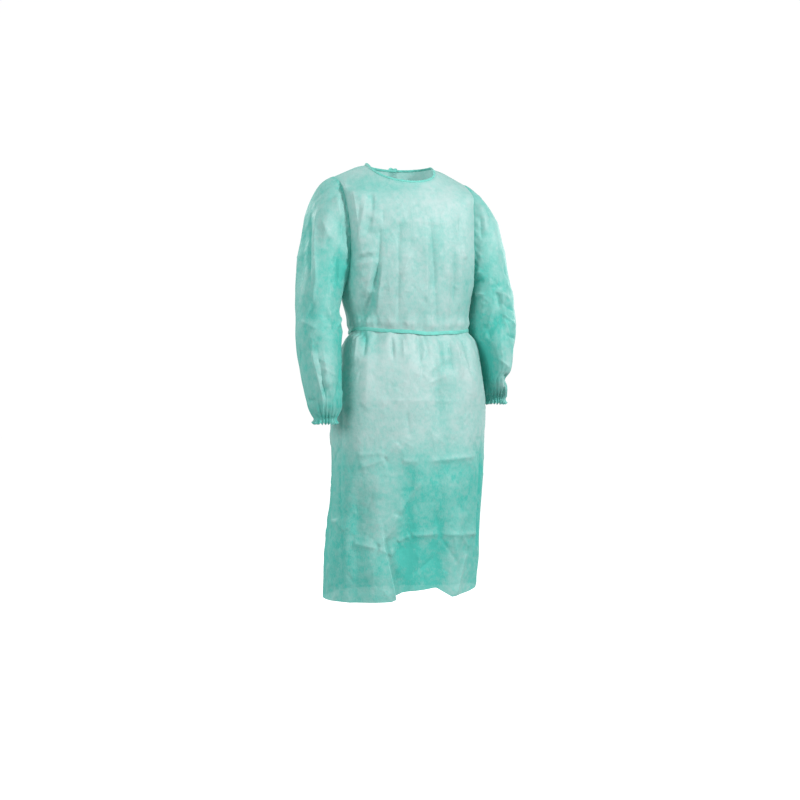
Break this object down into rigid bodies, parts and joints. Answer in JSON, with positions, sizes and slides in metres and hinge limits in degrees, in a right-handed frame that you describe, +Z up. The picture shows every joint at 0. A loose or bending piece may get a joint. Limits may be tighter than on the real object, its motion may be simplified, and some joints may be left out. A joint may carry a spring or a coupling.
{
  "type": "isolation gown",
  "caption": "Long-sleeved protective gown of thin non-woven cloth in worn form, with a bound round neck, gathered wrists, a waist tie and an open back that overlaps.",
  "frame": {"origin": "middle of the neck opening, level with the side of the wearer's neck", "axes": "+Z up along the standing wearer, -Y to the front of the gown, +X to the wearer's left"},
  "size_m": [0.6074, 0.3029, 1.1392],
  "materials": {
    "cloth": "thin translucent non-woven with a soft sheen",
    "cuff": "the same cloth, gathered on a hidden elastic",
    "binding": "folded non-woven strip, deeper green"
  },
  "bodies": {
    "root": {"front_panel": "cloth", "back_panel_left": "cloth", "back_panel_right": "cloth", "sleeve_left": "cloth", "sleeve_right": "cloth", "cuff_left": "cuff", "cuff_right": "cuff", "neck_binding": "binding", "neck_tie_knot": "binding", "neck_tie_tail_left": "binding", "neck_tie_tail_right": "binding", "waist_tie": "binding", "waist_tie_knot": "binding", "waist_tie_tail_left": "binding", "waist_tie_tail_right": "binding"}
  },
  "joints": []
}
